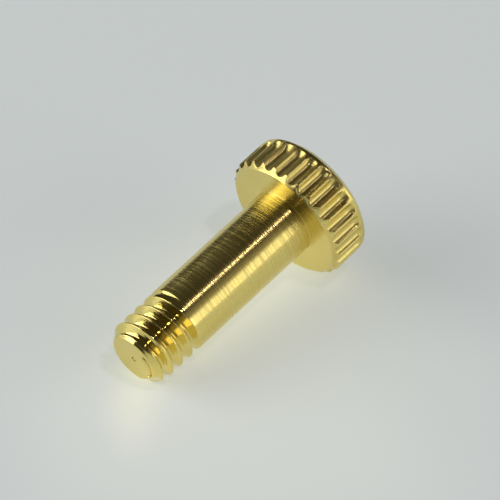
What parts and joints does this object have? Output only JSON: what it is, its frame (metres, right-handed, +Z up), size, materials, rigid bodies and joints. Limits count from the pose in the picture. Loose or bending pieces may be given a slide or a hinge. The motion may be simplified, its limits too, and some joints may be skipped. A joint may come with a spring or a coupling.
{
  "type": "thumb screw",
  "caption": "Thumb screw turned from a brass bar: round straight-knurled head with chamfered ends, plain shank and a short right-hand thread at the tip.",
  "frame": {"origin": "on the surface that the screw lies on, below the middle of its box", "axes": "+X along the length, towards the head; +Z up, as the screw lies on its head's rim and its thread"},
  "size_m": [0.0152, 0.0076, 0.0079],
  "materials": {
    "brass": "polished, gold-coloured, with fine turning marks"
  },
  "bodies": {
    "root": {"screw": "brass"}
  },
  "joints": []
}
